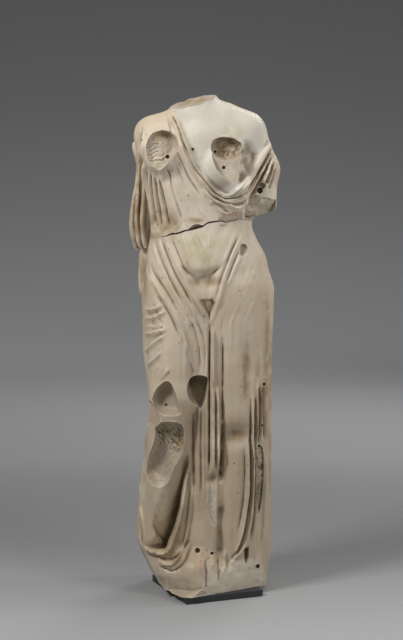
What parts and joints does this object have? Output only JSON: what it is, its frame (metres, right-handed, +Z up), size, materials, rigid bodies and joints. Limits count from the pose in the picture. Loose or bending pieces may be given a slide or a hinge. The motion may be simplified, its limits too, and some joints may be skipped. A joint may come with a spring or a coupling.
{
  "type": "draped marble statue",
  "caption": "Headless, armless standing draped woman in weathered marble, broken and rejoined at the waist, on a thin dark slab.",
  "frame": {"origin": "on the underside of the slab, below the middle of the figure", "axes": "+Z up along the figure's height, -Y towards the viewer at the figure's front, +X to the viewer's right"},
  "size_m": [0.424, 0.344, 1.4087],
  "materials": {
    "marble": null,
    "dark_slab": "dark blue-grey, satin, thin support slab"
  },
  "bodies": {
    "root": {"upper_body": "marble", "lower_body": "marble", "base_slab": "dark_slab"}
  },
  "joints": []
}
